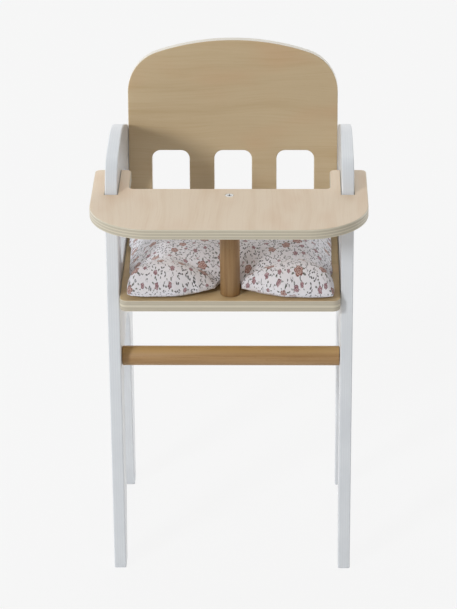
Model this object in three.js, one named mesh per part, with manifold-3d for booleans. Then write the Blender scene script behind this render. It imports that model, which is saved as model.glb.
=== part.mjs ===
// A doll's high chair: two painted side frames, a seat board, a slotted back panel and a tray,
// joined by a round footrest rod, a round tray post and countersunk screws, with a loose cushion.
// Millimetres, +Z up, +X to the doll's left as seen from the front, +Y to the back.
// While the pieces are made, Y is zero at the front of the arms and Z is zero at the floor. At the
// end the whole chair moves, so that the origin is under the middle of its box.

import * as THREE from 'three';
import { mergeVertices } from 'three/addons/utils/BufferGeometryUtils.js';
import Module from 'manifold-3d';

const wasm = await Module();
wasm.setup();

// Boards, rods and gaps
const sideThickness = 12.4;
const seatThickness = 12;
const backThickness = 12;
const trayThickness = 10.4;
const rodDiameter = 20;
const paintedArris = 1.2;
const bareArris = 1;
const seatClearance = 0.3;
const cutOverrun = 4;

// Width and heights of the chair
const innerWidth = 222;
const seatHeight = 312.7;
const seatToTray = 106.9;
const trayToArm = 25.9;

// Side frame, seen from the side
const footFront = -13;
const frontFootDepth = 21;
const rearFootDepth = 19;
const floorLength = 201;
const footArris = 1.6;
const legDepth = 41;
const rearLegDepth = 46;
const rearKneeDepth = 36;
const kneeHeight = 88;
const kneeRadius = 90;
const archBelowSeat = 74.7;
const archRadius = 55;
const rearLean = 24;
const shoulderDepth = 6;
const shoulderArris = 1.8;
const armFrontRadius = 38;
const armCrownPlace = 109.3;
const armCrownRise = 6.4;
const armCrownRadius = 213;
const armRearDrop = 32.6;
const armRearRadius = 22;
const windowAboveSeat = 8.3;
const windowRearDepth = 43;
const windowRadius = 28;
const windowRearRadius = 38;
const armBand = 50;

// Seat board
const seatNose = 12.5;
const seatCornerRadius = 8;

// Back panel, sizes along its own slope from the seat's top
const backRecline = 7;
const backSideHeight = 140;
const backCrownRise = 55.8;
const backShoulderRadius = 45;
const backFrontAtSeat = 187;
const slotWidth = 39.5;
const slotPitch = 66;
const slotTop = 76.5;
const slotBottom = 15;
const slotRadius = 9;

// Tray
const trayOverhang = 13.35;
const trayFront = 89.3;
const trayBay = 14.8;
const trayEarReach = 65;
const trayCornerRadius = 62;
const earCornerRadius = 6;
const innerEarWidth = 10.6;
const bayRadius = 5;

// Rods
const postSetback = 18;
const footrestBelowSeat = 75.9;
const footrestSetback = 20.5;

// Screws
const screwLength = 36;
const screwShankDiameter = 3.8;
const screwHeadDiameter = 8.2;
const screwHeadDepth = 2.6;
const screwHeadRim = 0.3;
const screwTipLength = 6;
const screwSink = 0.2;
const recessSpan = 4.4;
const recessWidth = 1;
const recessDepth = 1.4;
const seatScrewInset = 50;
const backScrewLow = 10;
const backScrewHigh = 50;

// Cushion
const cushionSideGap = 6;
const cushionBackGap = 3;
const cushionFront = 3;
const cushionThickness = 36;
const cushionEdgeRound = 15;
const cushionCornerRadius = 18;
const dentHalfWidth = 48;
const dentRadius = 30;
const dentGap = 4;

// How finely curves are cut
const chordError = 0.06;
const samePlace = 0.01;
const arrisSteps = 2;
const rodSteps = 40;
const screwSteps = 16;
const cushionSteps = 5;

// Sizes that follow from those above
const halfInner = innerWidth / 2;
const halfOuter = halfInner + sideThickness;
const seatUnderside = seatHeight - seatThickness;
const trayHeight = seatHeight + seatToTray;
const armHeight = trayHeight + trayToArm;
const archHeight = seatHeight - archBelowSeat;
const windowBottom = seatHeight + windowAboveSeat;
const footrestHeight = seatHeight - footrestBelowSeat;
const trayUnderside = trayHeight - trayThickness;
const rodRadius = rodDiameter / 2;
const reclineAngle = THREE.MathUtils.degToRad(backRecline);
const seatFront = footFrontAt(seatHeight) - seatNose;
const postPlace = seatFront + postSetback;
const footrestPlace = footFrontAt(footrestHeight) + footrestSetback;
const backFootOnSeat = backFrontAtSeat - seatThickness * Math.tan(reclineAngle);
const seatRear = backFootOnSeat - seatClearance;
const rearFootBack = footFront + floorLength;

// The front and the rear edge of the frames lean back a little: these are their places at a height.
function footFrontAt(height) {
  const topFront = -shoulderDepth;
  return footFront + (topFront - footFront) * (height / trayUnderside);
}

function rearEdgeAt(height) {
  return rearFootBack + rearLean * (height / armHeight);
}

const paintedWood = { color: 0xe9ebec, roughness: 0.42, metalness: 0 };
const plywood = { color: 0xd8c3a0, roughness: 0.6, metalness: 0 };
const beechRod = { color: 0xb98a55, roughness: 0.55, metalness: 0 };
const zincSteel = { color: 0xb9bcc0, roughness: 0.35, metalness: 0.9 };
const cotton = { color: 0xeef0f2, roughness: 0.95, metalness: 0 };

// Shapes

// Points along an arc about a centre, close enough together that no chord lies off by more than the
// chord error.
function arcPoints(centre, radius, from, to) {
  const stepAngle = 2 * Math.acos(1 - Math.min(chordError / radius, 1));
  const steps = Math.max(1, Math.ceil(Math.abs(to - from) / stepAngle));
  return Array.from({ length: steps + 1 }, (_, index) => {
    const angle = from + (to - from) * (index / steps);
    return new THREE.Vector2(Math.cos(angle), Math.sin(angle)).multiplyScalar(radius).add(centre);
  });
}

// A closed ring of points, without any that fall on the one before.
function ring(points) {
  return points.filter((point, index) => (
    point.distanceTo(points[(index + points.length - 1) % points.length]) > samePlace
  ));
}

// A ring through corners given as [across, up, radius], with an arc in each corner.
function roundedRing(corners) {
  const count = corners.length;
  return ring(corners.flatMap(([x, y, radius], index) => {
    const corner = new THREE.Vector2(x, y);
    if (radius === 0) {
      return [corner];
    }
    const [beforeX, beforeY] = corners[(index + count - 1) % count];
    const [afterX, afterY] = corners[(index + 1) % count];
    const back = new THREE.Vector2(beforeX, beforeY).sub(corner).normalize();
    const ahead = new THREE.Vector2(afterX, afterY).sub(corner).normalize();
    const halfAngle = Math.acos(THREE.MathUtils.clamp(back.dot(ahead), -1, 1)) / 2;
    const middle = back.clone().add(ahead).normalize();
    const centre = corner.clone().addScaledVector(middle, radius / Math.sin(halfAngle));
    const turn = Math.sign(ahead.cross(back)) * (Math.PI - 2 * halfAngle);
    const inward = middle.angle() + Math.PI;
    return arcPoints(centre, radius, inward - turn / 2, inward + turn / 2);
  }));
}

// A board of the outline, lying in XY from z = 0 up to its thickness, with rounded arrises.
function board(outline, thickness, arris, roundSteps = arrisSteps) {
  return new THREE.ExtrudeGeometry(outline, {
    depth: thickness - 2 * arris,
    bevelEnabled: true,
    bevelThickness: arris,
    bevelSize: arris,
    bevelOffset: -arris,
    bevelSegments: roundSteps,
  }).translate(0, 0, arris);
}

// A round rod along +Z from z = 0, with its two end arrises taken off.
function rod(length, radius, arris) {
  const profile = [
    [0, 0], [radius - arris, 0], [radius, arris],
    [radius, length - arris], [radius - arris, length], [0, length],
  ];
  return turned(profile, rodSteps);
}

// A revolved piece about Z from [radius, height] points that run up from the axis to the axis.
function turned(profile, steps) {
  const points = profile.map(([radius, height]) => new THREE.Vector2(radius, height));
  return new THREE.LatheGeometry(points, steps).rotateX(Math.PI / 2);
}

// Solid cutting and joining
function toSolid(geometry) {
  const bare = geometry.clone();
  bare.deleteAttribute('normal');
  bare.deleteAttribute('uv');
  const merged = mergeVertices(bare);
  return new wasm.Manifold(new wasm.Mesh({
    numProp: 3,
    vertProperties: new Float32Array(merged.attributes.position.array),
    triVerts: new Uint32Array(merged.index.array),
  }));
}

function toGeometry(solid) {
  const { vertProperties, triVerts } = solid.getMesh();
  const geometry = new THREE.BufferGeometry();
  geometry.setAttribute('position', new THREE.BufferAttribute(vertProperties, 3));
  geometry.setIndex(new THREE.BufferAttribute(triVerts, 1));
  return geometry;
}

function cut(geometry, cutters) {
  let solid = toSolid(geometry);
  for (const cutter of cutters) {
    solid = solid.subtract(toSolid(cutter));
  }
  return toGeometry(solid);
}

// Screws: each has a place for the middle of its head's top, and a direction that it drives in

const left = new THREE.Vector3(1, 0, 0);
const right = new THREE.Vector3(-1, 0, 0);
const up = new THREE.Vector3(0, 0, 1);
const down = new THREE.Vector3(0, 0, -1);

// Half the section of a screw, grown by a gap, from its tip at the bottom to its head's top.
function screwSection(gap, above) {
  const shank = screwShankDiameter / 2 + gap;
  const head = screwHeadDiameter / 2 + gap;
  const tip = -screwLength - gap;
  const section = [
    [0, tip], [shank, tip + screwTipLength], [shank, -screwHeadDepth - gap],
    [head, -screwHeadRim], [head, above], [0, above],
  ];
  return section;
}

// Turns a piece made along Z, head up, so that it drives along a direction from its place.
function driven(geometry, place, direction) {
  const turn = new THREE.Quaternion().setFromUnitVectors(down, direction);
  return geometry.applyQuaternion(turn).translate(place.x, place.y, place.z);
}

function screwGeometry() {
  const blade = (width, span) => new THREE.BoxGeometry(width, span, 2 * recessDepth);
  const body = turned(screwSection(0, 0), screwSteps);
  return cut(body, [blade(recessWidth, recessSpan), blade(recessSpan, recessWidth)]);
}

// The hole that a screw needs, open past its head.
function screwHole({ place, direction }) {
  return driven(turned(screwSection(seatClearance, cutOverrun), screwSteps), place, direction);
}

const seatScrewHeight = seatHeight - seatThickness / 2;
const seatScrewPlaces = [seatFront + seatScrewInset, seatRear - seatScrewInset];
const backScrewSlopes = [backScrewLow, backScrewHigh];

// A point in the middle of the back panel's thickness, at a distance along its slope.
function backMiddle(slope) {
  const half = backThickness / 2;
  const y = backFrontAtSeat + slope * Math.sin(reclineAngle) + half * Math.cos(reclineAngle);
  const z = seatHeight + slope * Math.cos(reclineAngle) - half * Math.sin(reclineAngle);
  return { y, z };
}

function sideScrews(side) {
  const direction = side > 0 ? right : left;
  const x = side * (halfOuter - screwSink);
  const name = side > 0 ? 'left' : 'right';
  const at = (label, y, z) => (
    { name: `${label}_${name}`, place: new THREE.Vector3(x, y, z), direction }
  );
  const screws = [at('footrest_screw', footrestPlace, footrestHeight)];
  seatScrewPlaces.forEach((y, index) => {
    screws.push(at(index ? 'seat_screw_rear' : 'seat_screw_front', y, seatScrewHeight));
  });
  backScrewSlopes.forEach((slope, index) => {
    const { y, z } = backMiddle(slope);
    screws.push(at(index ? 'back_screw_upper' : 'back_screw_lower', y, z));
  });
  return screws;
}

const leftScrews = sideScrews(1);
const rightScrews = sideScrews(-1);
const trayScrew = {
  name: 'tray_screw',
  place: new THREE.Vector3(0, postPlace, trayHeight - screwSink),
  direction: down,
};
const postScrew = {
  name: 'post_screw',
  place: new THREE.Vector3(0, postPlace, seatUnderside + screwSink),
  direction: up,
};
const allSideScrews = [...leftScrews, ...rightScrews];
const holesFor = (word) => allSideScrews.filter(({ name }) => name.includes(word)).map(screwHole);

// The side frame, outlined in (Y, Z): legs that narrow to their feet under a round arch, a window
// above the seat, a shoulder for the tray and an arm that is slightly crowned and slopes down to
// its rear corner
function sideOutline() {
  const kneeFront = footFrontAt(kneeHeight) + legDepth;
  const archFront = footFrontAt(archHeight) + legDepth;
  const archRear = rearEdgeAt(archHeight) - rearLegDepth;
  const kneeRear = rearEdgeAt(kneeHeight) - rearKneeDepth;
  const rearHeight = armHeight - armRearDrop;
  const topRear = rearEdgeAt(rearHeight);
  const outline = new THREE.Shape(roundedRing([
    [footFront, 0, footArris],
    [footFront + frontFootDepth, 0, footArris],
    [kneeFront, kneeHeight, kneeRadius],
    [archFront, archHeight, archRadius],
    [archRear, archHeight, archRadius],
    [kneeRear, kneeHeight, kneeRadius],
    [rearFootBack - rearFootDepth, 0, footArris],
    [rearFootBack, 0, footArris],
    [topRear, rearHeight, armRearRadius],
    [armCrownPlace, armHeight + armCrownRise, armCrownRadius],
    [0, armHeight, armFrontRadius],
    [0, trayUnderside, 0],
    [-shoulderDepth, trayUnderside, shoulderArris],
  ]));
  const windowFront = footFrontAt(windowBottom) + legDepth;
  outline.holes.push(new THREE.Path(roundedRing([
    [windowFront, windowBottom, windowRadius],
    [rearEdgeAt(windowBottom) - windowRearDepth, windowBottom, windowRadius],
    [topRear - armBand, armHeight - armBand, windowRearRadius],
    [windowFront, armHeight - armBand, windowRadius],
  ])));
  return outline;
}

function sideFrame(side, screws) {
  const flat = board(sideOutline(), sideThickness, paintedArris);
  // The outline's across and up become Y and Z, and the thickness runs along X.
  flat.rotateX(Math.PI / 2).rotateZ(Math.PI / 2);
  flat.translate(side > 0 ? halfInner : -halfOuter, 0, 0);
  return cut(flat, screws.map(screwHole));
}

function seatBoard() {
  const half = halfInner - seatClearance;
  const outline = new THREE.Shape(roundedRing([
    [-half, seatFront, seatCornerRadius],
    [half, seatFront, seatCornerRadius],
    [half, seatRear, 0],
    [-half, seatRear, 0],
  ]));
  const flat = board(outline, seatThickness, bareArris).translate(0, 0, seatUnderside);
  return cut(flat, [...holesFor('seat_screw'), screwHole(postScrew)]);
}

// The back panel's outline: straight sides, two round shoulders and one wide crown arc that meets
// them smoothly. The crown's radius follows from its height and the shoulders.
function backOutline() {
  const half = halfInner - seatClearance;
  const shoulderCentre = half - backShoulderRadius;
  const rise = backCrownRise;
  const crownRadius = (shoulderCentre ** 2 + rise ** 2 - backShoulderRadius ** 2)
    / (2 * (rise - backShoulderRadius));
  const crownCentre = backSideHeight + rise - crownRadius;
  const meeting = Math.atan2(backSideHeight - crownCentre, shoulderCentre);
  const bottom = -seatThickness / Math.cos(reclineAngle);
  const shoulder = new THREE.Vector2(shoulderCentre, backSideHeight);
  const otherShoulder = new THREE.Vector2(-shoulderCentre, backSideHeight);
  const crown = new THREE.Vector2(0, crownCentre);
  const outline = new THREE.Shape(ring([
    new THREE.Vector2(-half, bottom),
    new THREE.Vector2(half, bottom),
    ...arcPoints(shoulder, backShoulderRadius, 0, meeting),
    ...arcPoints(crown, crownRadius, meeting, Math.PI - meeting),
    ...arcPoints(otherShoulder, backShoulderRadius, Math.PI - meeting, Math.PI),
  ]));
  for (const step of [-1, 0, 1]) {
    const middle = step * slotPitch;
    outline.holes.push(new THREE.Path(roundedRing([
      [middle - slotWidth / 2, slotBottom, slotRadius],
      [middle + slotWidth / 2, slotBottom, slotRadius],
      [middle + slotWidth / 2, slotTop, slotRadius],
      [middle - slotWidth / 2, slotTop, slotRadius],
    ])));
  }
  return outline;
}

function backPanel() {
  const flat = board(backOutline(), backThickness, bareArris);
  // It stands up on the seat's line, front face forward, and leans back about that line.
  flat.rotateX(Math.PI / 2).translate(0, backThickness, 0);
  flat.rotateX(-reclineAngle).translate(0, backFrontAtSeat, seatHeight);
  return cut(flat, holesFor('back_screw'));
}

// The tray: a round-cornered board, open at the back in a bay for the doll, and in two notches that
// slide round the arms
function trayOutline() {
  const half = halfOuter + trayOverhang;
  const notchOuter = halfOuter + seatClearance;
  const notchInner = halfInner - seatClearance;
  const earInner = notchInner - innerEarWidth;
  const rightHalf = [
    [half, -trayFront, trayCornerRadius],
    [half, trayEarReach, earCornerRadius],
    [notchOuter, trayEarReach, 0],
    [notchOuter, -seatClearance, 0],
    [notchInner, -seatClearance, 0],
    [notchInner, trayEarReach, 0],
    [earInner, trayEarReach, earCornerRadius],
    [earInner, trayBay, bayRadius],
  ];
  const leftHalf = rightHalf.map(([x, y, radius]) => [-x, y, radius]).reverse();
  return new THREE.Shape(roundedRing([...rightHalf, ...leftHalf]));
}

function tray() {
  const flat = board(trayOutline(), trayThickness, bareArris).translate(0, 0, trayUnderside);
  return cut(flat, [screwHole(trayScrew)]);
}

function trayPost() {
  const foot = seatHeight + seatClearance;
  const length = trayUnderside - seatClearance - foot;
  const bar = rod(length, rodRadius, bareArris / 2).translate(0, postPlace, foot);
  return cut(bar, [screwHole(trayScrew), screwHole(postScrew)]);
}

function footrestRod() {
  const length = innerWidth - 2 * seatClearance;
  const bar = rod(length, rodRadius, bareArris / 2).translate(0, 0, -length / 2);
  bar.rotateY(Math.PI / 2).translate(0, footrestPlace, footrestHeight);
  return cut(bar, holesFor('footrest_screw'));
}

// The cushion: a plain puffy pad with a dent at the front, where the post presses into it
function cushion() {
  const half = halfInner - cushionSideGap;
  const front = seatFront + cushionFront;
  const back = backFrontAtSeat - cushionBackGap;
  const dentEnd = postPlace + rodRadius + dentGap;
  const outline = new THREE.Shape(roundedRing([
    [-half, front, cushionCornerRadius],
    [-dentHalfWidth, front, dentRadius],
    [-rodRadius, dentEnd, rodRadius],
    [rodRadius, dentEnd, rodRadius],
    [dentHalfWidth, front, dentRadius],
    [half, front, cushionCornerRadius],
    [half, back, cushionCornerRadius],
    [-half, back, cushionCornerRadius],
  ]));
  const pad = board(outline, cushionThickness, cushionEdgeRound, cushionSteps);
  return pad.translate(0, 0, seatHeight + seatClearance);
}

// Assembly
const chair = new THREE.Group();

function addPiece(name, geometry, finish) {
  const mesh = new THREE.Mesh(geometry, new THREE.MeshStandardMaterial(finish));
  mesh.name = name;
  chair.add(mesh);
}

addPiece('side_frame_left', sideFrame(1, leftScrews), paintedWood);
addPiece('side_frame_right', sideFrame(-1, rightScrews), paintedWood);
addPiece('seat_board', seatBoard(), plywood);
addPiece('back_panel', backPanel(), plywood);
addPiece('tray', tray(), plywood);
addPiece('tray_post', trayPost(), beechRod);
addPiece('footrest_rod', footrestRod(), beechRod);
addPiece('seat_cushion', cushion(), cotton);
for (const { name, place, direction } of [...allSideScrews, trayScrew, postScrew]) {
  addPiece(name, driven(screwGeometry(), place, direction), zincSteel);
}

// The origin goes under the middle of the chair's box, on the floor.
const box = new THREE.Box3().setFromObject(chair, true);
const middle = box.getCenter(new THREE.Vector3());
chair.position.set(-middle.x, -middle.y, -box.min.z);
chair.updateMatrixWorld(true);

export default chair;
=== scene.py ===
"""A doll's high chair: white lacquered side frames, birch plywood seat, back and tray, beech
dowels, zinc-plated screws and a loose flower-print cushion, on a pale floor. Metres, +Z up."""

import math
from functools import partial

import bmesh
import bpy
from bpy.props import FloatProperty, FloatVectorProperty, IntProperty, PointerProperty
from mathutils import Matrix, Vector, noise


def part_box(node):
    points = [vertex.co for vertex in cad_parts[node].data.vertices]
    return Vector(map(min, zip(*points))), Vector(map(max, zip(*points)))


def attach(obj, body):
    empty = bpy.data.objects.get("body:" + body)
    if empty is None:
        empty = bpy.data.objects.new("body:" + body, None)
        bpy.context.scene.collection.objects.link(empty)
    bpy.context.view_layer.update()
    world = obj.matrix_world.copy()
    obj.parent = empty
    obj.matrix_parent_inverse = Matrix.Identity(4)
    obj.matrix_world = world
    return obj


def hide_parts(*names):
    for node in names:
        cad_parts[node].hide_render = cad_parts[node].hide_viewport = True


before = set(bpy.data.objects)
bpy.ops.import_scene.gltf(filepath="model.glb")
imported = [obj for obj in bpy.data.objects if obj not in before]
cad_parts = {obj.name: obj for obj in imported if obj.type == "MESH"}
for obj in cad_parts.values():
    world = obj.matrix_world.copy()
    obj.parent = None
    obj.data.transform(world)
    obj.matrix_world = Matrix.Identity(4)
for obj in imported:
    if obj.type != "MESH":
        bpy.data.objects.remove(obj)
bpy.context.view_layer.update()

bl_info = {
    "name": "Doll High Chair",
    "version": (1, 0, 0),
    "blender": (4, 5, 0),
    "location": "View3D > Sidebar > High Chair",
    "description": "Finishes and cushion of a doll's high chair around its CAD frame",
    "category": "Object",
}

MM = 0.001
CHAIR = "chair"
CUSHION = "cushion"

# Boxes of the CAD's pieces, and where the arms' front edges stand
TRAY_LOW, TRAY_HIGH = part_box("tray")
SEAT_LOW, SEAT_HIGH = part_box("seat_board")
POST_LOW, POST_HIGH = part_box("tray_post")
PAD_LOW, PAD_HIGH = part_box("seat_cushion")
TRAY_FRONT_TO_ARMS = 89.3 * MM
ARM_FRONT = TRAY_LOW.y + TRAY_FRONT_TO_ARMS
BACK_RECLINE = math.radians(7)
BACK_THICKNESS = 12 * MM

# Light: the lamps' cool white, and the room's, which comes back warmer from floor and shelves
COOL_WHITE = (0.945, 0.975, 1.0)
WARM_WHITE = (1.0, 0.982, 0.935)

# Settings that nodes share
COLOURS = {"data_type": "RGBA"}
SMOOTH = {"interpolation_type": "SMOOTHSTEP"}


def linear(code):
    """The linear colour of an sRGB hex code such as "#ECEEF0"."""
    channels = [int(code[place : place + 2], 16) / 255 for place in (1, 3, 5)]
    return [c / 12.92 if c <= 0.04045 else ((c + 0.055) / 1.055) ** 2.4 for c in channels]


def rgba(colour):
    return (*colour, 1.0)


# Node trees


def add(tree, kind, *inputs, **settings):
    """Adds a node, sets it up, and fills its inputs, in order or by the names in a dict, with
    values, other nodes or other nodes' sockets."""
    node = tree.nodes.new("ShaderNode" + kind)
    for name, value in settings.items():
        setattr(node, name, value)
    if inputs and isinstance(inputs[0], dict):
        filled = [(node.inputs[name], value) for name, value in inputs[0].items()]
    else:
        filled = zip([socket for socket in node.inputs if socket.enabled], inputs)
    for socket, value in filled:
        if isinstance(value, bpy.types.Node):
            value = next(output for output in value.outputs if output.enabled)
        if isinstance(value, bpy.types.NodeSocket):
            tree.links.new(value, socket)
        else:
            socket.default_value = value
    return node


def empty_material(name):
    """A material without nodes, and the function that adds them to it."""
    material = bpy.data.materials.new(name)
    material.use_nodes = True
    material.node_tree.nodes.clear()
    return material, partial(add, material.node_tree)


def in_millimetres(node, turn=(0.0, 0.0, 0.0), centre=(0.0, 0.0, 0.0)):
    """Object coordinates about a centre, turned, in millimetres."""
    here = node("TexCoord").outputs["Object"]
    moved = node("VectorMath", here, centre, operation="SUBTRACT")
    return node("Mapping", {"Vector": moved, "Rotation": turn, "Scale": (1 / MM, 1 / MM, 1 / MM)})


def grain_noise(node, place, scale, detail=2.0, roughness=0.5, distortion=0.0):
    """Noise whose features are 1 / scale long along each axis, in millimetres."""
    stretched = node("VectorMath", place, scale, operation="MULTIPLY")
    return node("TexNoise", {
        "Vector": stretched, "Scale": 1.0, "Detail": detail, "Roughness": roughness,
        "Distortion": distortion,
    })


def finish_node(name, material):
    """Gives every material slot of a CAD node the material."""
    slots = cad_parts[name].material_slots
    if not slots:
        raise RuntimeError(f"{name} has no material slot")
    for each in slots:
        each.material = material


def colour_property(name, description, code):
    return FloatVectorProperty(
        name=name, description=description, subtype="COLOR", size=3, min=0.0, max=1.0,
        default=linear(code),
    )


def length_property(name, description, millimetres):
    return FloatProperty(
        name=name, description=description, default=millimetres * MM, min=0.0, unit="LENGTH",
        precision=5,
    )


def number_property(name, description, default):
    return FloatProperty(name=name, description=description, default=default, min=0.0)


# Settings


class LacquerSettings(bpy.types.PropertyGroup):
    colour: colour_property("Lacquer", "White satin lacquer of the side frames", "#E9ECF0")
    shade: colour_property("Thin lacquer", "Lacquer that lies thin over the ply edges", "#E0E3E8")
    peel_size: length_property("Orange peel", "Width of one ripple that the spray gun leaves", 1.4)


class PlywoodSettings(bpy.types.PropertyGroup):
    face: colour_property("Face", "Birch face veneer", "#D0B994")
    figure: colour_property("Figure", "Darker late-wood bands of the veneer", "#BEA176")
    # Partly painted sheen, partly a paler veneer of its own: the tray's veneer is drawn paler and
    # less saturated than the panel's, for the gloss and top light on its upper face.
    tray_face_and_sheen: colour_property("Tray face", "Paler face veneer of the tray", "#EEDAC1")
    tray_figure_and_sheen: colour_property("Tray figure", "Darker bands of the tray's veneer", "#DFC3A3")
    warm: colour_property("Warm streak", "Reddish tone of the veneer in broad patches", "#D2A277")
    long_grain: colour_property("Long grain", "Edge of a ply that runs along the edge", "#DED5C1")
    end_grain: colour_property("End grain", "Edge of a ply that ends at the edge", "#C7BDA9")
    glue: colour_property("Glue line", "Dark line between two plies", "#8F8672")
    # Painted light: the seat's veneer is the panel's ply drawn lighter, to make up for the shade
    # that the tray casts on the seat.
    seat_face_lit: colour_property("Seat face", "Yellower face veneer of the seat", "#D6BD92")
    seat_figure_lit: colour_property("Seat figure", "Darker bands of the seat's veneer", "#C0A576")
    # Painted highlight: the panel's edge colours are paler than the other boards' edges, for the
    # light that the panel's upper edge catches.
    panel_edge_highlight: colour_property("Panel edge", "Pale plies on the panel's sanded edge", "#F8F3E9")
    panel_end_highlight: colour_property("Panel end grain", "End-grain plies on the panel's edge", "#EEE6D8")
    ply: length_property("Ply", "Thickness of one ply", 1.6)
    seat_ply: length_property("Seat ply", "Thickness of one inner ply of the seat", 3.2)
    seat_skin: length_property("Seat skin", "Thickness of the seat's face plies", 1.2)


class DowelSettings(bpy.types.PropertyGroup):
    light: colour_property("Early wood", "Pale grain of the footrest", "#B48F62")
    dark: colour_property("Late wood", "Dark grain of the footrest", "#9E784A")
    # Painted highlight: the footrest's upper side is drawn lighter and redder for the light that
    # falls on its top.
    top_highlight: colour_property("Sapwood", "Redder wood along the footrest's upper side", "#C9A570")
    # Painted shade: the post's tones are the footrest's beech drawn darker, for the tray's shadow
    # over the post.
    post_light_shaded: colour_property("Post early wood", "Pale grain of the tray's post", "#9C7B52")
    post_dark_shaded: colour_property("Post late wood", "Dark grain of the tray's post", "#84633D")
    arris: length_property("Arris", "Softening of the dowels' end edges", 1.0)


class ScrewSettings(bpy.types.PropertyGroup):
    zinc: colour_property("Zinc", "Bright zinc plate", "#D0D0CE")
    # The recess colour is painted shade: near-black for the shade down in a screw head's recess.
    recess: colour_property("Recess", "Thin, dark plate in the recess of a head", "#2E2C29")


class CushionSettings(bpy.types.PropertyGroup):
    cotton: colour_property("Cotton", "Ground of the printed cotton", "#EBE9EF")
    rose: colour_property("Rose", "Petals of the large flowers", "#E4C3B7")
    rose_line: colour_property("Rose outline", "Drawn outlines of the large flowers", "#7B4A44")
    mauve: colour_property("Mauve", "Petals of the small flowers", "#DAAFB2")
    mauve_line: colour_property("Mauve outline", "Drawn outlines of the small flowers", "#6A4450")
    leaf: colour_property("Leaf", "Leaves and sprigs", "#4F534B")
    twig: colour_property("Twig", "Small dashes strewn between the flowers", "#232429")
    rim_height: length_property("Rim height", "Height of the seam above the seat", 6.0)
    drawn_in: number_property("Drawn in", "How far the filling draws the rim in", 0.08)
    voxel: length_property("Voxel", "Width of one patch of the cloth", 4.0)
    swell_limit: length_property("Swell limit", "Farthest that a point of cloth may move", 26.0)
    pressure: number_property("Pressure", "Push of the filling", 4.0)
    frames: IntProperty(
        name="Frames", description="Steps of the cloth's swelling", default=20, min=2
    )


class StageSettings(bpy.types.PropertyGroup):
    backdrop: colour_property("Backdrop", "Floor and backdrop as the camera sees them", "#F8F8F8")
    lens: number_property("Lens", "Focal length in mm on a 36 mm high sensor", 157.75)
    key_power: number_property("Key", "Power of the lamp in front, on the left", 88.5)
    top_power: number_property("Top", "Power of the overhead softbox", 7.0)
    rear_power: number_property("Rear top", "Power of the softbox above, behind", 8.0)
    wall_power: number_property("Wall", "Power that the lit wall behind gives back", 12.3)
    low_power: number_property("Low rear", "Power of each low lamp behind the chair", 16.5)
    sky: number_property("Sky", "Strength of the even light of the room", 0.29)


class ChairSettings(bpy.types.PropertyGroup):
    lacquer: PointerProperty(type=LacquerSettings)
    plywood: PointerProperty(type=PlywoodSettings)
    dowels: PointerProperty(type=DowelSettings)
    screws: PointerProperty(type=ScrewSettings)
    cushion: PointerProperty(type=CushionSettings)
    stage: PointerProperty(type=StageSettings)


# White satin lacquer, sprayed on sanded birch ply: near-white, a soft broad gloss, a faint ripple,
# and the plies just showing through on the edges


def white_lacquer(settings):
    material, node = empty_material("white_satin_lacquer")
    shade = rgba(settings.shade)
    place = in_millimetres(node)
    clouds = grain_noise(node, place, (0.018, 0.018, 0.018), detail=3.0)
    thin = node("MapRange", clouds, 0.35, 0.75, **SMOOTH)
    tone = node("Mix", thin, rgba(settings.colour), shade, **COLOURS)
    # Plies 2.4 mm apart show as lines across the frame's thickness; real ones are half as wide.
    ply = 2.4
    across = node("SeparateXYZ", place).outputs[0]
    phase = node("Math", across, 2 * math.pi / ply, operation="MULTIPLY")
    waves = node("Math", phase, operation="SINE")
    lines = node("Math", waves, 0.25, 0.25, operation="MULTIPLY_ADD")
    ripple = 1 / (settings.peel_size / MM)
    peel = grain_noise(node, place, (ripple, ripple, ripple), detail=1.0)
    shader = node("BsdfPrincipled", {
        "Base Color": node("Mix", lines, tone, shade, **COLOURS),
        "Roughness": 0.38, "IOR": 1.5, "Coat Weight": 0.15, "Coat Roughness": 0.25,
        "Normal": node("Bump", {"Height": peel, "Distance": 0.03 * MM, "Strength": 0.5}),
    })
    node("OutputMaterial", shader)
    return material


# Birch plywood, sanded, clear matt lacquer: quiet cathedral figure on the faces, and on the edges
# pale and darker plies in turn


def grain_amount(node, *patterns):
    """How dark the grain is: each pattern, between its two thresholds, adds its share."""
    amount = 0.0
    for pattern, low, high, share in patterns:
        shown = node("MapRange", pattern, low, high, **SMOOTH)
        amount = node("Math", shown, share, amount, operation="MULTIPLY_ADD", use_clamp=True)
    return amount


def birch_faces(node, settings, lay, face, figure):
    """The face veneer's colour, and its pores, on a board laid with its grain along X."""
    bend = grain_noise(node, lay, (0.006, 0.014, 0.0), detail=1.0)
    bent = node("VectorMath", (0.0, 26.0, 0.0), bend, operation="SCALE")
    curved = node("VectorMath", lay, bent, operation="ADD")
    bands = grain_noise(node, curved, (0.0035, 0.055, 0.0), detail=4.0, roughness=0.6)
    # Late-wood lines are about 0.5 mm wide; they are drawn 1.5 mm wide, the finest that shows.
    lines = grain_noise(node, curved, (0.012, 0.6, 0.0), detail=2.0, roughness=0.7)
    flecks = grain_noise(node, lay, (0.15, 1.4, 0.0), detail=1.0)
    amount = grain_amount(
        node, (bands, 0.4, 0.8, 0.6), (lines, 0.45, 0.8, 0.3), (flecks, 0.55, 0.8, 0.12)
    )
    veneer = node("Mix", amount, rgba(face), rgba(figure), **COLOURS)
    # The veneer's tone drifts between greenish and reddish over some 80 mm.
    patches = grain_noise(node, lay, (0.009, 0.02, 0.0), detail=2.0)
    reddish = node("MapRange", patches, 0.45, 0.75, **SMOOTH)
    drift = node("Math", reddish, 0.3, operation="MULTIPLY")
    veneer = node("Mix", drift, veneer, rgba(settings.warm), **COLOURS)
    return veneer, node("Math", lines, flecks, operation="ADD")


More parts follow.
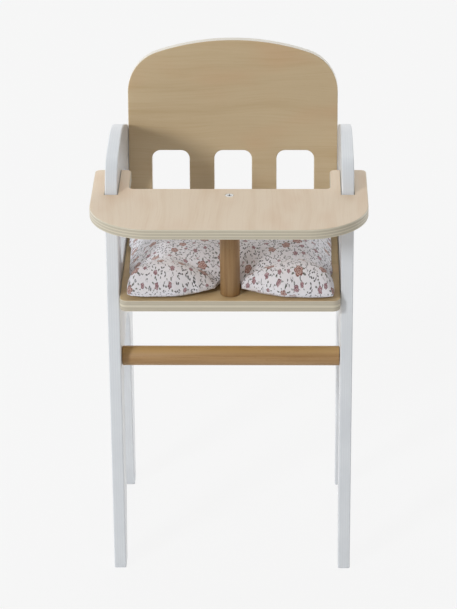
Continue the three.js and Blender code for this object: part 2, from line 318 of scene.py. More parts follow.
def birch_edges(node, settings, place, lay, depth, ply, skin, edges):
    """The edge's colour: plies in turn of long and end grain, with glue lines between."""
    wobble = grain_noise(node, lay, (0.02, 0.02, 0.3), detail=1.0)
    # The wobble of noise is about its middle value, 0.5.
    off_middle = node("Math", wobble, 0.5, operation="SUBTRACT")
    wavy = node("Math", off_middle, 0.6, depth, operation="MULTIPLY_ADD")
    wavy = node("Math", wavy, ply - skin, operation="ADD")
    cycle = node("Math", node("Math", wavy, math.pi / ply, operation="MULTIPLY"), operation="SINE")
    odd = node("MapRange", cycle, -0.35, 0.35, **SMOOTH)
    long_grain, end_grain = edges
    edge = node("Mix", odd, rgba(end_grain), rgba(long_grain), **COLOURS)
    # Glue lines are about 0.1 mm thick; they are drawn 0.4 mm thick and fainter.
    from_glue = node("MapRange", node("Math", cycle, operation="ABSOLUTE"), 0.1, 0.5, **SMOOTH)
    near_glue = node("Math", 1.0, from_glue, operation="SUBTRACT")
    glue = node("Math", near_glue, 0.4, operation="MULTIPLY")
    edge = node("Mix", glue, edge, rgba(settings.glue), **COLOURS)
    streaks = grain_noise(node, place, (0.05, 0.05, 1.2), detail=3.0)
    faint = node("Math", streaks, 0.35, operation="MULTIPLY")
    return node("Mix", faint, edge, rgba(end_grain), **COLOURS)


def birch_plywood(
    name, settings, low, thickness, face, figure, edges, turn=0.0, along_y=False, ply=0.0, skin=0.0
):
    """low is a point of the board's lower or front face; turn leans the board back about X; edges
    are the colours of long and end grain; ply and skin are the plies' sizes where they differ."""
    material, node = empty_material(name)
    place = in_millimetres(node, turn=(turn, 0.0, 0.0), centre=low)
    parts = node("SeparateXYZ", place).outputs
    # In the board's own axes the first is its width, and the depth is through its thickness.
    depth = parts[1] if turn else parts[2]
    lay = place
    if along_y:
        lay = node("Mapping", {"Vector": place, "Rotation": (0.0, 0.0, math.pi / 2)})
    elif turn:
        lay = node("Mapping", {"Vector": place, "Rotation": (math.pi / 2, 0.0, 0.0)})
    if not ply:
        plies = 2 * round((thickness / (settings.ply / MM) - 1) / 2) + 1
        ply = skin = thickness / plies
    veneer, pores = birch_faces(node, settings, lay, face, figure)
    edge = birch_edges(node, settings, place, lay, depth, ply, skin, edges)
    off_middle = node("Math", depth, thickness / 2, operation="SUBTRACT")
    from_middle = node("Math", off_middle, operation="ABSOLUTE")
    on_face = node("MapRange", from_middle, thickness / 2 - 0.35, thickness / 2 - 0.05, **SMOOTH)
    shader = node("BsdfPrincipled", {
        "Base Color": node("Mix", on_face, edge, veneer, **COLOURS), "Roughness": 0.5, "IOR": 1.5,
        "Normal": node("Bump", {"Height": pores, "Distance": 0.03 * MM, "Strength": 0.35}),
    })
    node("OutputMaterial", shader)
    return material


# Beech dowel, turned and sanded, clear matt lacquer: straight grain along its length


def beech_dowel(name, centre, along, light, dark, top_highlight=None):
    """along is the index of the axis that the dowel runs along; the last colour, when given, is a
    painted highlight on its upper side.
    """
    material, node = empty_material(name)
    place = in_millimetres(node, centre=centre)

    def drawn_out(across, lengthwise):
        return tuple(lengthwise if axis == along else across for axis in range(3))

    rings = grain_noise(node, place, drawn_out(0.22, 0.008), detail=3.0, distortion=0.4)
    lines = grain_noise(node, place, drawn_out(1.1, 0.02), detail=2.0)
    # The short dark flecks are the wood's rays, 2 to 3 mm long.
    rays = grain_noise(node, place, drawn_out(1.6, 0.35), detail=0.0)
    amount = grain_amount(
        node, (rings, 0.36, 0.7, 0.6), (lines, 0.4, 0.7, 0.35), (rays, 0.62, 0.75, 0.25)
    )
    wood = node("Mix", amount, rgba(light), rgba(dark), **COLOURS)
    if top_highlight is not None:
        # Painted highlight: the upper side, from about 4 mm above the dowel's heart, is drawn
        # lighter and redder for the light that falls on it from above.
        height = node("SeparateXYZ", place).outputs[2]
        upper = node("MapRange", height, 1.5, 7.0, **SMOOTH)
        upper = node("Math", upper, 0.9, operation="MULTIPLY")
        wood = node("Mix", upper, wood, rgba(top_highlight), **COLOURS)
    grain = node("Math", lines, rays, operation="ADD")
    shader = node("BsdfPrincipled", {
        "Base Color": wood, "Roughness": 0.48, "IOR": 1.5,
        "Normal": node("Bump", {"Height": grain, "Distance": 0.04 * MM, "Strength": 0.4}),
    })
    node("OutputMaterial", shader)
    return material


# Zinc-plated steel, pressed heads: bright, slightly cloudy


def zinc_plate(settings):
    material, node = empty_material("zinc_plated_steel")
    clouds = grain_noise(node, in_millimetres(node), (0.9, 0.9, 0.9), detail=3.0)
    dull = [channel * 0.72 for channel in settings.zinc]
    plate = node("Mix", clouds, rgba(settings.zinc), rgba(dull), **COLOURS)
    # Painted shade: an ambient occlusion node darkens the plate towards near-black down in a head's
    # recess, where shade falls.
    open_air = node("AmbientOcclusion", {"Distance": 1.2 * MM}).outputs["AO"]
    clear_of_recess_shade = node("MapRange", open_air, 0.55, 0.97, **SMOOTH)
    shader = node("BsdfPrincipled", {
        "Base Color": node("Mix", clear_of_recess_shade, rgba(settings.recess), plate, **COLOURS),
        "Metallic": 1.0,
        "Roughness": node("MapRange", {"Value": clouds, "To Min": 0.35, "To Max": 0.5}),
        "Normal": node("Bump", {"Height": clouds, "Distance": 0.02 * MM, "Strength": 0.3}),
    })
    node("OutputMaterial", shader)
    return material


# Printed cotton, plain weave, soft: a white ground strewn with small drawn flowers, sprigs and
# dashes. The print lies on the cloth's own flat cut, in millimetres, so it bends with the folds.


def strewn(node, place, spacing, shift):
    """One motif for each cell of about the spacing: where the motif's own axes put each point, and
    two random numbers that belong to the motif."""
    moved = node("VectorMath", place, shift, operation="ADD")
    spread = {"Vector": moved, "Scale": 1 / spacing, "Randomness": 0.75}
    cells = node("TexVoronoi", spread, voronoi_dimensions="2D")
    from_middle = node("VectorMath", moved, cells.outputs["Position"], operation="SUBTRACT")
    chance = node("SeparateColor", cells.outputs["Color"]).outputs
    angle = node("Math", chance[0], 2 * math.pi, operation="MULTIPLY")
    turned = node("VectorRotate", {"Vector": from_middle, "Angle": angle}, rotation_type="Z_AXIS")
    return turned, chance[1], chance[2]


def polar(node, place):
    """A point's distance from the motif's middle, and its direction."""
    parts = node("SeparateXYZ", place).outputs
    squares = [node("Math", part, part, operation="MULTIPLY") for part in parts[:2]]
    radius = node("Math", node("Math", *squares, operation="ADD"), operation="SQRT")
    return radius, node("Math", parts[1], parts[0], operation="ARCTAN2")


def inside(node, distance, edge, soft):
    """1 where the distance is under the edge, 0 past it."""
    away = node("Math", edge, distance, operation="SUBTRACT")
    return node("MapRange", away, -soft, soft, **SMOOTH)


def flower(node, place, reach, petals, size):
    """A flower seen from above: its petals' area, its drawn lines, and the radius at a point."""
    radius, angle = polar(node, place)
    turns = node("Math", angle, petals / 2, operation="MULTIPLY")
    wave = node("Math", node("Math", turns, operation="COSINE"), operation="ABSOLUTE")
    scallop = node("Math", wave, 0.6, operation="POWER")
    outer = node("Math", scallop, 0.3, 0.7, operation="MULTIPLY_ADD")
    rim = node("Math", node("Math", outer, size, operation="MULTIPLY"), reach, operation="MULTIPLY")
    share = node("Math", radius, rim, operation="DIVIDE")
    area = inside(node, share, 1.0, 0.05)
    drawn = 0.0
    # Three rings are drawn, each at a share of the rim's radius: the rim, the petals, the heart.
    for ring, half_width in ((0.9, 0.16), (0.5, 0.12), (0.14, 0.14)):
        beyond = node("Math", share, ring, operation="SUBTRACT")
        line = inside(node, node("Math", beyond, operation="ABSOLUTE"), half_width, 0.05)
        drawn = node("Math", drawn, line, operation="MAXIMUM")
    return area, drawn, radius


def leaf_ring(node, place, count, distance, length, width):
    """Slim leaves that point outwards, evenly round a flower."""
    radius, angle = polar(node, place)
    share = 2 * math.pi / count
    local = node("Math", angle, share / 2, -share / 2, operation="WRAP")
    outwards = node("Math", radius, node("Math", local, operation="COSINE"), operation="MULTIPLY")
    sideways = node("Math", radius, node("Math", local, operation="SINE"), operation="MULTIPLY")
    along = node("Math", outwards, distance, operation="SUBTRACT")
    squares = [
        node("Math", node("Math", part, size, operation="DIVIDE"), 2.0, operation="POWER")
        for part, size in ((along, length), (sideways, width))
    ]
    reach = node("Math", node("Math", *squares, operation="ADD"), operation="SQRT")
    return inside(node, reach, 1.0, 0.18)


def dash(node, place, length, width, offset, lean):
    """A short brush stroke, off the motif's middle and leaning."""
    leaning = node("VectorRotate", {"Vector": place, "Angle": lean}, rotation_type="Z_AXIS")
    parts = node("SeparateXYZ", leaning).outputs
    moved = node("Math", parts[0], offset, operation="SUBTRACT")
    shares = [
        node("Math", part, size, operation="DIVIDE")
        for part, size in ((moved, length), (parts[1], width))
    ]
    squares = [node("Math", part, part, operation="MULTIPLY") for part in shares]
    return inside(node, node("Math", *squares, operation="ADD"), 1.0, 0.3)


def all_of(node, *amounts):
    """The amounts multiplied: 1 only where each of them is 1."""
    product = amounts[0]
    for amount in amounts[1:]:
        product = node("Math", product, amount, operation="MULTIPLY")
    return product


def print_layers(node, place, settings):
    """The print from the lowest layer up: how much of it lies at a point, and its colour. Lengths
    are in millimetres and angles in radians."""
    big, _, big_size = strewn(node, place, spacing=25.0, shift=(11.0, 4.0, 0.0))
    grown = node("Math", big_size, 0.3, 0.75, operation="MULTIPLY_ADD")
    rose_area, rose_line, big_radius = flower(node, big, reach=4.8, petals=5, size=grown)
    rose_leaves = leaf_ring(node, big, count=8, distance=6.0, length=1.8, width=0.85)
    clear_of_big = node("MapRange", big_radius, 7.0, 9.0, **SMOOTH)

    small, small_chance, small_size = strewn(node, place, spacing=12.5, shift=(3.0, 17.0, 0.0))
    grown = node("Math", small_size, 0.35, 0.75, operation="MULTIPLY_ADD")
    bud_area, bud_line, small_radius = flower(node, small, reach=2.4, petals=5, size=grown)
    bud_leaves = leaf_ring(node, small, count=6, distance=3.8, length=1.2, width=0.6)
    # About a quarter of the cells get no small flower.
    there = node("MapRange", small_chance, 0.22, 0.26, **SMOOTH)
    near_small = all_of(node, there, inside(node, small_radius, 5.4, 0.8))
    clear_of_small = node("Math", 1.0, near_small, operation="SUBTRACT")

    # About half of the leaves are missing, so that no two flowers are alike.
    missing = node("TexNoise", {"Vector": place, "Scale": 0.3, "Detail": 0.0})
    kept = node("MapRange", missing, 0.45, 0.49, **SMOOTH)

    strokes, stroke_chance, _ = strewn(node, place, spacing=3.7, shift=(29.0, 31.0, 0.0))
    first = dash(node, strokes, length=1.1, width=0.6, offset=1.2, lean=0.5)
    second = dash(node, strokes, length=0.85, width=0.52, offset=-1.25, lean=-0.7)
    pair = node("Math", first, second, operation="MAXIMUM")
    # About one pair of dashes in eight is left out.
    drawn = node("MapRange", stroke_chance, 0.1, 0.14, **SMOOTH)
    return (
        (all_of(node, pair, clear_of_big, clear_of_small, drawn), settings.twig),
        (all_of(node, bud_leaves, kept, clear_of_big, there), settings.leaf),
        (all_of(node, bud_area, clear_of_big, there), settings.mauve),
        (all_of(node, bud_line, clear_of_big, there), settings.mauve_line),
        (all_of(node, rose_leaves, kept), settings.leaf),
        (rose_area, settings.rose),
        (rose_line, settings.rose_line),
    )


def printed_cotton(settings):
    material, node = empty_material("printed_cotton")
    cut = node("UVMap", uv_map="cut")
    place = node("Mapping", {"Vector": cut, "Scale": (1 / MM, 1 / MM, 1.0)})
    # The drawn lines waver a little, as inked ones do.
    waver = node("TexNoise", {"Vector": place, "Scale": 0.5, "Detail": 1.0}).outputs["Color"]
    away = node("VectorMath", waver, (0.5, 0.5, 0.5), operation="SUBTRACT")
    away = node("VectorMath", away, 1.6, operation="SCALE")
    place = node("VectorMath", place, away, operation="ADD")

    ink = node("TexNoise", {"Vector": place, "Scale": 0.9, "Detail": 2.0})
    wet = node("MapRange", ink, 0.3, 0.6, **SMOOTH)
    patchy = node("Math", wet, 0.45, 0.55, operation="MULTIPLY_ADD")
    colour = rgba(settings.cotton)
    for index, (amount, tint) in enumerate(print_layers(node, place, settings)):
        # The dashes, which lie lowest, are printed evenly; the flowers' ink is patchy.
        density = patchy if index else 0.9
        colour = node("Mix", all_of(node, amount, density), colour, rgba(tint), **COLOURS)
    # The seam's folded edge shows the bare ground, with the stitches' groove inside it.
    metres = node("Attribute", attribute_name="from_seam").outputs["Fac"]
    from_seam = node("Math", metres, 1 / MM, operation="MULTIPLY")
    fold = inside(node, from_seam, 1.2, 0.4)
    colour = node("Mix", fold, colour, rgba(settings.cotton), **COLOURS)
    past_groove = node("Math", from_seam, 3.0, operation="SUBTRACT")
    groove = inside(node, node("Math", past_groove, operation="ABSOLUTE"), 0.6, 0.5)

    # Threads are 0.3 mm apart; they are drawn 1 mm apart, the closest that shows.
    threads = [
        node("Math", node("Math", part, 2 * math.pi, operation="MULTIPLY"), operation="SINE")
        for part in node("SeparateXYZ", place).outputs[:2]
    ]
    weave = node("Math", *threads, operation="MULTIPLY")
    crumple = node("TexNoise", {"Vector": place, "Scale": 0.09, "Detail": 3.0})
    height = node("Math", crumple, 18.0, weave, operation="MULTIPLY_ADD")
    height = node("Math", groove, -8.0, height, operation="MULTIPLY_ADD")
    shader = node("BsdfPrincipled", {
        "Base Color": colour, "Roughness": 0.88, "IOR": 1.45, "Sheen Weight": 0.25,
        "Sheen Roughness": 0.5,
        "Normal": node("Bump", {"Height": height, "Distance": 0.05 * MM, "Strength": 0.6}),
    })
    node("OutputMaterial", shader)
    return material


# Shapes


def made_object(name, shape):
    """The bmesh as an object of the scene."""
    mesh = bpy.data.meshes.new(name)
    shape.to_mesh(mesh)
    shape.free()
    made = bpy.data.objects.new(name, mesh)
    bpy.context.scene.collection.objects.link(made)
    return made


def smooth_rod(name, low, high, along, arris):
    """A round rod that fills a box, its end edges softened; along is the axis it runs along."""
    size = high - low
    radius = size[(along + 1) % 3] / 2
    turn = Matrix.Rotation(math.pi / 2, 4, "Y") if along == 0 else Matrix.Identity(4)
    shape = bmesh.new()
    bmesh.ops.create_cone(
        shape, cap_ends=True, segments=72, radius1=radius, radius2=radius, depth=size[along],
        matrix=Matrix.Translation((low + high) / 2) @ turn,
    )
    ends = [edge for face in shape.faces if len(face.verts) > 4 for edge in face.edges]
    bmesh.ops.bevel(
        shape, geom=ends, offset=arris, offset_type="OFFSET", affect="EDGES", segments=3,
        profile=0.5, material=-1,
    )
    for face in shape.faces:
        face.smooth = len(face.verts) <= 4
    return made_object(name, shape)


# The cushion


def smooth_corners(corners, steps=10):
    """A ring of points through corners given as (x, y, radius), each corner an arc."""
    ring = []
    for index, (x, y, radius) in enumerate(corners):
        corner = Vector((x, y))
        back = (Vector(corners[index - 1][:2]) - corner).normalized()
        ahead = (Vector(corners[(index + 1) % len(corners)][:2]) - corner).normalized()
        half = back.angle(ahead) / 2
        reach = radius / math.tan(half)
        start, end = corner + back * reach, corner + ahead * reach
        for step in range(steps + 1):
            share = step / steps
            near = start.lerp(corner, share)
            far = corner.lerp(end, share)
            ring.append(near.lerp(far, share))
    return ring


def cushion_cut():
    """The cushion's outline from above, with the dent in its front that goes round the post. It is
    a little askew, as sewn: wider at the back on its left side, -X, and at the front on its right.
    Remesh and finer mesh take about 2 mm off the outline, which is given back here."""
    half = PAD_HIGH.x
    front, back = PAD_LOW.y - 5.5 * MM, PAD_HIGH.y + 1 * MM
    waist = ARM_FRONT + 60 * MM
    post = (POST_LOW + POST_HIGH) / 2
    beside, behind = post.y - 5 * MM, post.y + 12.5 * MM
    return smooth_corners([
        # Front, left: the corner, the dent's mouth, and its side beside the post
        (-half + 0.2 * MM, front + 1 * MM, 5 * MM),
        (-54 * MM, front + 1 * MM, 20 * MM),
        (-14.8 * MM, beside, 6 * MM),
        # The dent's two corners behind the post
        (-9 * MM, behind, 4.5 * MM),
        (9 * MM, behind, 4.5 * MM),
        # Front, right: the same in the reverse order
        (11.4 * MM, beside, 6 * MM),
        (54 * MM, front, 20 * MM),
        (half + 2.8 * MM, front, 5 * MM),
        # The right side's waist, the back corners, and the left side's waist
        (half, waist, 30 * MM),
        (half + 2 * MM, back, 8 * MM),
        (-half - 6 * MM, back, 8 * MM),
        (-half - 1.5 * MM, waist, 30 * MM),
    ])


def evaluated_mesh(piece):
    """The piece's mesh as its modifiers leave it, put in its place, and the modifiers removed."""
    depsgraph = bpy.context.evaluated_depsgraph_get()
    mesh = bpy.data.meshes.new_from_object(piece.evaluated_get(depsgraph))
    old = piece.data
    piece.modifiers.clear()
    piece.data = mesh
    bpy.data.meshes.remove(old)
    return mesh


def to_outline(point, outline):
    """How far a point is from the outline, seen from above."""
    flat = point.to_2d()
    nearest = float("inf")
    for index, start in enumerate(outline):
        side = outline[(index + 1) % len(outline)] - start
        share = (flat - start).dot(side) / max(side.length_squared, 1e-12)
        foot = start + side * min(1.0, max(0.0, share))
        nearest = min(nearest, (flat - foot).length)
    return nearest


def flat_bag(settings):
    """The sewn, empty bag: the flat cut given a thickness, remeshed evenly, then pressed thin."""
    thickness = 2 * settings.voxel
    pressed_to = 0.25
    shape = bmesh.new()
    outline = cushion_cut()
    ring = [shape.verts.new((point.x, point.y, -thickness / 2)) for point in outline]
    base = shape.faces.new(ring)
    grown = bmesh.ops.extrude_face_region(shape, geom=[base])
    top = [item for item in grown["geom"] if isinstance(item, bmesh.types.BMVert)]
    bmesh.ops.translate(shape, verts=top, vec=(0.0, 0.0, thickness))
    bmesh.ops.recalc_face_normals(shape, faces=shape.faces)
    pad = made_object("seat_pad", shape)
    remesh = pad.modifiers.new("even", "REMESH")
    remesh.mode = "VOXEL"
    remesh.voxel_size = settings.voxel
    mesh = evaluated_mesh(pad)
    cut = mesh.uv_layers.new(name="cut")
    for face in mesh.polygons:
        # The underside reads another stretch of the same cloth, 0.4 m further on.
        shift = 0.4 if face.normal.z < -0.7 else 0.0
        for index in face.loop_indices:
            vertex = mesh.vertices[mesh.loops[index].vertex_index]
            # The cloth goes on over the rim and down its side.
            laid = vertex.co + vertex.normal * max(0.0, thickness / 2 - vertex.co.z)
            cut.data[index].uv = (laid.x + shift, laid.y)
    seam = mesh.attributes.new("from_seam", "FLOAT", "POINT")
    for vertex in mesh.vertices:
        # The seam runs round the lower half of the rim.
        from_seam_line = abs(vertex.co.z + thickness / 4)
        seam.data[vertex.index].value = to_outline(vertex.co, outline) + from_seam_line
        vertex.co.z *= pressed_to
    return pad


def swell(pad, settings):
    """Fills the bag: the cloth swells under pressure, with no point moving past the limit."""
    at_rest = [vertex.co.copy() for vertex in pad.data.vertices]
    cloth = pad.modifiers.new("swell", "CLOTH")
    cloth.settings.quality = 8
    cloth.settings.mass = 0.12
    cloth.settings.tension_stiffness = 25
    cloth.settings.compression_stiffness = 12
    cloth.settings.shear_stiffness = 8
    cloth.settings.bending_stiffness = 0.4
    cloth.settings.use_pressure = True
    cloth.settings.uniform_pressure_force = settings.pressure
    cloth.settings.effector_weights.gravity = 0.0
    cloth.collision_settings.use_collision = False
    cloth.point_cache.frame_start = 1
    cloth.point_cache.frame_end = settings.frames
    scene = bpy.context.scene
    for frame_number in range(1, settings.frames + 1):
        scene.frame_set(frame_number)
    mesh = evaluated_mesh(pad)
    for vertex, rest in zip(mesh.vertices, at_rest):
        move = vertex.co - rest
        if move.length > settings.swell_limit:
            vertex.co = rest + move * (settings.swell_limit / move.length)
    scene.frame_set(1)


def bell(value, middle, width):
    return math.exp(-(((value - middle) / width) ** 2))


def crease_pinch(x, forward):
    """1 on the crease behind the front roll, fading on both sides of it. The crease lies some 23 mm
    behind the arms' fronts, comes forward to the dent round the post, and waves a little."""
    to_dent = bell(abs(x), 10 * MM, 26 * MM)
    crease = 23 * MM - 19 * MM * to_dent + 3 * MM * math.sin(x / (17 * MM))
    away = (forward - crease) / (8.5 * MM)
    blunt = 0.6
    return math.exp(blunt - math.sqrt(away * away + blunt * blunt))


def settle(pad, flat, settings):
    """Lets the filled bag down on the seat. The outline stays where it was cut, the underside goes
    nearly flat, the front swells into a roll with a crease behind it, and the rim puckers."""
    mesh = pad.data
    seam = mesh.attributes["from_seam"].data
    # The cloth stays 0.6 mm clear of the board.
    seat = SEAT_HIGH.z + 0.6 * MM
    room = PAD_HIGH.z - seat
    top = max(max(vertex.co.z for vertex in mesh.vertices), 1 * MM)
    rim_height = settings.rim_height
    roll_height, rim_width, pucker_size = 6.5 * MM, 16 * MM, 9 * MM
    for vertex, rest in zip(mesh.vertices, flat):
        point = vertex.co
        drawn_in = (point - rest) * settings.drawn_in
        x, y = rest.x + drawn_in.x, rest.y + drawn_in.y
        forward = y - ARM_FRONT
        side = -1.0 if x < 0 else 1.0

        # The rim puckers in small folds, and the rest of the cloth has broad, faint wrinkles.
        rim = 1.0 - min(1.0, seam[vertex.index].value / rim_width)
        cell = Vector((x, y, 0.0)) / pucker_size
        pucker = noise.noise(cell + Vector((0.0, 0.0, 7.0 * side))) * rim
        wrinkle = noise.noise(cell * 0.3 + Vector((3.0, 1.0, 0.0))) + 0.5 * noise.noise(cell * 0.8)

        if point.z >= 0:
            fullness = (point.z / top) ** (0.8 - 0.25 * bell(forward, -8 * MM, 18 * MM))
            swelling = fullness * (room - rim_height)
            roll = roll_height * bell(forward, -3 * MM, 15 * MM) * min(1.0, fullness * 2.2)
            # The crease is deeper on the right, and its depth comes and goes along it.
            depth = (4.6 if side > 0 else 2.6) * MM * min(1.0, fullness * 1.6)
            depth *= 0.75 + 0.9 * noise.noise(Vector((x / (30 * MM), 0.5, 0.5)))
            z = rim_height + swelling + roll - depth * crease_pinch(x, forward)
            z += 2.2 * MM * wrinkle * fullness + 1.6 * MM * pucker
        else:
            z = max(0.0, rim_height + point.z * 0.9) + 0.5 * MM * max(0.0, pucker)

        # The crease draws the sides in a little, and the front corners stand out.
        narrow = 4.0 * MM * bell(forward, 17 * MM, 10 * MM) * min(1.0, abs(x) / PAD_HIGH.x) ** 6
        point.x = x - side * narrow + side * 0.9 * MM * pucker
        point.y = y + 1.2 * MM * pucker
        point.z = seat + min(max(z, 0.0), room + 3 * MM)


def soften(pad):
    pad.data.polygons.foreach_set("use_smooth", [True] * len(pad.data.polygons))
    finer = pad.modifiers.new("finer", "SUBSURF")
    finer.levels = finer.render_levels = 1


# Operators, one for each piece or group of like pieces


class MakeStage(bpy.types.Operator):
    """Pale seamless floor, soft studio lamps and the camera"""

    bl_idname = "highchair.make_stage"
    bl_label = "Stage"

    def execute(self, context):
        settings = context.scene.high_chair.stage
        context.scene.view_settings.view_transform = "Standard"
        self.floor(settings)
        self.room(context.scene, settings)
        self.lamps(context.scene, settings)
        self.camera(context.scene, settings)
        return {"FINISHED"}

    def seen_itself(self, node):
        """1 where the camera looks at a surface, straight on or in a mirror, and 0 elsewhere."""
        rays = node("LightPath").outputs
        return node("Math", rays["Is Camera Ray"], rays["Is Glossy Ray"], operation="MAXIMUM")

    def floor(self, settings):
        half_width = 12.0
        shape = bmesh.new()
        bmesh.ops.create_grid(shape, x_segments=1, y_segments=1, size=half_width)
        floor = made_object("floor", shape)
        floor.location.z = -0.2 * MM
        material, node = empty_material("pale_paper")
        colour = rgba(settings.backdrop)
        paper = node("BsdfPrincipled", {"Base Color": colour, "Roughness": 0.9})
        glow = node("Emission", {"Color": colour, "Strength": 1.0})
        # A little of the lit paper stays in the mix, so that the feet keep their faint shadow.
        share = node("Math", self.seen_itself(node), 0.93, operation="MULTIPLY")
        node("OutputMaterial", node("MixShader", share, paper, glow))
        floor.data.materials.append(material)

    def room(self, scene, settings):
        world = bpy.data.worlds.new("studio_room")
        world.use_nodes = True
        world.node_tree.nodes.clear()
        node = partial(add, world.node_tree)
        light = node("Background", {"Color": rgba(WARM_WHITE), "Strength": settings.sky})
        backdrop = node("Background", {"Color": rgba(settings.backdrop), "Strength": 1.0})
        node("OutputWorld", node("MixShader", self.seen_itself(node), light, backdrop))
        scene.world = world

    def lamps(self, scene, settings):
        """Square softboxes that aim at the chair."""
        aim = Vector((0.0, 0.0, 0.35))
        for name, place, width, power in (
            ("key_lamp", (-2.6, -3.3, 2.3), 0.8, settings.key_power),
            ("top_lamp", (-0.2, 0.15, 2.5), 2.0, settings.top_power),
            ("rear_top_lamp", (0.0, 1.6, 2.2), 1.6, settings.rear_power),
            ("wall_lamp", (0.0, 2.6, 0.9), 3.0, settings.wall_power),
            ("low_left_lamp", (-2.2, 1.4, 0.3), 0.55, settings.low_power),
            ("low_right_lamp", (2.2, 1.4, 0.3), 0.55, settings.low_power),
        ):
            lamp = bpy.data.lights.new(name, "AREA")
            lamp.shape = "SQUARE"
            lamp.size = width
            lamp.energy = power
            lamp.color = COOL_WHITE
            holder = bpy.data.objects.new(name, lamp)
            holder.location = place
            holder.rotation_euler = (aim - Vector(place)).to_track_quat("-Z", "Y").to_euler()
            # The lamps behind the chair stand in front of the backdrop, so none is seen itself.
            holder.visible_camera = False
            scene.collection.objects.link(holder)

    def camera(self, scene, settings):
        """The camera: it looks down at the chair and a little to the left, slightly rolled."""
        place = (51.889 * MM, -2438.26 * MM + ARM_FRONT, 1431.11 * MM)
        down, across, roll = (math.radians(angle) for angle in (24.891, -1.2608, -0.4678))
        lens = bpy.data.cameras.new("camera")
        lens.sensor_fit = "VERTICAL"
        lens.sensor_width = lens.sensor_height = 36.0
        lens.lens = settings.lens
        lens.clip_start, lens.clip_end = 0.1, 50.0
        ahead = Vector((
            math.sin(across) * math.cos(down), math.cos(across) * math.cos(down), -math.sin(down)
        ))
        level = Vector((math.cos(across), -math.sin(across), 0.0))
        upright = level.cross(ahead)
        right = level * math.cos(roll) + upright * math.sin(roll)
        up = upright * math.cos(roll) - level * math.sin(roll)
        camera = bpy.data.objects.new("camera", lens)
        camera.rotation_euler = Matrix((right, up, -ahead)).transposed().to_euler()
        camera.location = place
        scene.collection.objects.link(camera)
        scene.camera = camera


class DressFrames(bpy.types.Operator):
    """White satin lacquer on the two side frames"""

    bl_idname = "highchair.dress_frames"
    bl_label = "Side frames"

    def execute(self, context):
        lacquer = white_lacquer(context.scene.high_chair.lacquer)
        for node in ("side_frame_left", "side_frame_right"):
            finish_node(node, lacquer)
        return {"FINISHED"}


class DressBoards(bpy.types.Operator):
    """Birch plywood on the seat, the back panel and the tray"""

    bl_idname = "highchair.dress_boards"
    bl_label = "Boards"

    def execute(self, context):
        settings = context.scene.high_chair.plywood
        edges = (settings.long_grain, settings.end_grain)
        # The seat takes the lighter veneer colours, painted light against the tray's shade.
        seat = birch_plywood(
            "birch_plywood_seat", settings, SEAT_LOW, (SEAT_HIGH.z - SEAT_LOW.z) / MM,
            settings.seat_face_lit, settings.seat_figure_lit, edges,
            ply=settings.seat_ply / MM, skin=settings.seat_skin / MM,
        )
        # The panel leans back, so its lower front edge lies above the lowest point of its box.
        panel_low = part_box("back_panel")[0]
        foot = (0.0, panel_low.y, panel_low.z + BACK_THICKNESS * math.sin(BACK_RECLINE))
        # The panel's edges take the paler edge colours, a painted highlight.
        panel = birch_plywood(
            "birch_plywood_back", settings, foot, BACK_THICKNESS / MM,
            settings.face, settings.figure, (settings.panel_edge_highlight, settings.panel_end_highlight),
            turn=BACK_RECLINE,
        )
        # The tray's paler veneer colours hold a painted sheen.
        tray = birch_plywood(
            "birch_plywood_tray", settings, TRAY_LOW, (TRAY_HIGH.z - TRAY_LOW.z) / MM,
            settings.tray_face_and_sheen, settings.tray_figure_and_sheen, edges, along_y=True,
        )
        for node, material in (("seat_board", seat), ("back_panel", panel), ("tray", tray)):
            finish_node(node, material)
        return {"FINISHED"}


class MakeRods(bpy.types.Operator):
    """The tray's post and the footrest, turned from beech dowel"""

    bl_idname = "highchair.make_rods"
    bl_label = "Rods"

    def execute(self, context):
        settings = context.scene.high_chair.dowels
        for node, along, tones in (
            # The post's darker tones are painted shade.
            ("tray_post", 2, (settings.post_light_shaded, settings.post_dark_shaded)),
            ("footrest_rod", 0, (settings.light, settings.dark, settings.top_highlight)),
        ):
            low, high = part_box(node)
            rod = smooth_rod(node + "_dowel", low, high, along, settings.arris)
            # The dowel's heart lies off its axis, so that the rings run out at one side.
            heart = (low + high) / 2 + Vector((1.0, 3.0, 2.0)) * MM
            rod.data.materials.append(beech_dowel("beech_" + node, heart, along, *tones))
            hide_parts(node)
            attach(rod, CHAIR)
        return {"FINISHED"}


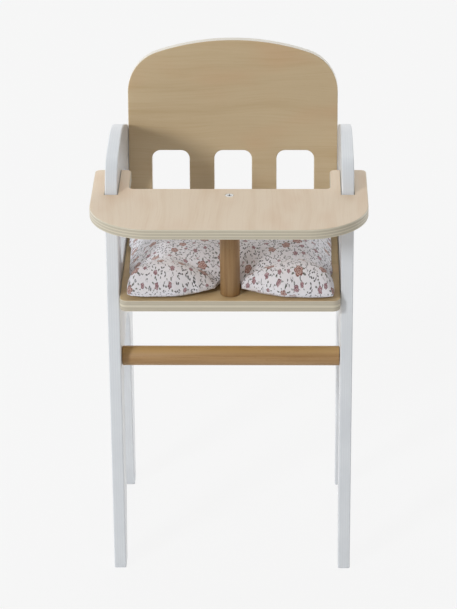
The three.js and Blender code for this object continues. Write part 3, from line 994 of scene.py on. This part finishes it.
class DressScrews(bpy.types.Operator):
    """Bright zinc plate on the screws"""

    bl_idname = "highchair.dress_screws"
    bl_label = "Screws"

    def execute(self, context):
        zinc = zinc_plate(context.scene.high_chair.screws)
        screws = [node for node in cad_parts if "screw" in node]
        if not screws:
            raise RuntimeError("the frame holds no screws")
        for node in screws:
            finish_node(node, zinc)
        return {"FINISHED"}


class MakeCushion(bpy.types.Operator):
    """The seat cushion: a sewn bag of printed cotton, filled and let down on the seat"""

    bl_idname = "highchair.make_cushion"
    bl_label = "Cushion"

    def execute(self, context):
        settings = context.scene.high_chair.cushion
        pad = flat_bag(settings)
        flat = [vertex.co.copy() for vertex in pad.data.vertices]
        swell(pad, settings)
        settle(pad, flat, settings)
        soften(pad)
        pad.data.materials.clear()
        pad.data.materials.append(printed_cotton(settings))
        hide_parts("seat_cushion")
        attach(pad, CUSHION)
        return {"FINISHED"}


class HighChairPanel(bpy.types.Panel):
    """Sizes and finishes of the high chair"""

    bl_idname = "VIEW3D_PT_high_chair"
    bl_label = "High Chair"
    bl_space_type = "VIEW_3D"
    bl_region_type = "UI"
    bl_category = "High Chair"

    def draw(self, context):
        settings = context.scene.high_chair
        for operator, group in STEPS:
            box = self.layout.box()
            box.operator(operator.bl_idname)
            values = getattr(settings, group)
            for name in values.bl_rna.properties.keys():
                if name not in ("rna_type", "name"):
                    box.prop(values, name)


STEPS = (
    (MakeStage, "stage"),
    (DressFrames, "lacquer"),
    (DressBoards, "plywood"),
    (MakeRods, "dowels"),
    (DressScrews, "screws"),
    (MakeCushion, "cushion"),
)
CLASSES = (
    LacquerSettings, PlywoodSettings, DowelSettings, ScrewSettings, CushionSettings, StageSettings,
    ChairSettings, *(operator for operator, _ in STEPS), HighChairPanel,
)


def register():
    for each in CLASSES:
        bpy.utils.register_class(each)
    bpy.types.Scene.high_chair = PointerProperty(type=ChairSettings)


def unregister():
    del bpy.types.Scene.high_chair
    for each in reversed(CLASSES):
        bpy.utils.unregister_class(each)


def main():
    register()
    for operator, _ in STEPS:
        group, name = operator.bl_idname.split(".")
        getattr(getattr(bpy.ops, group), name)()


if __name__ == "__main__":
    main()
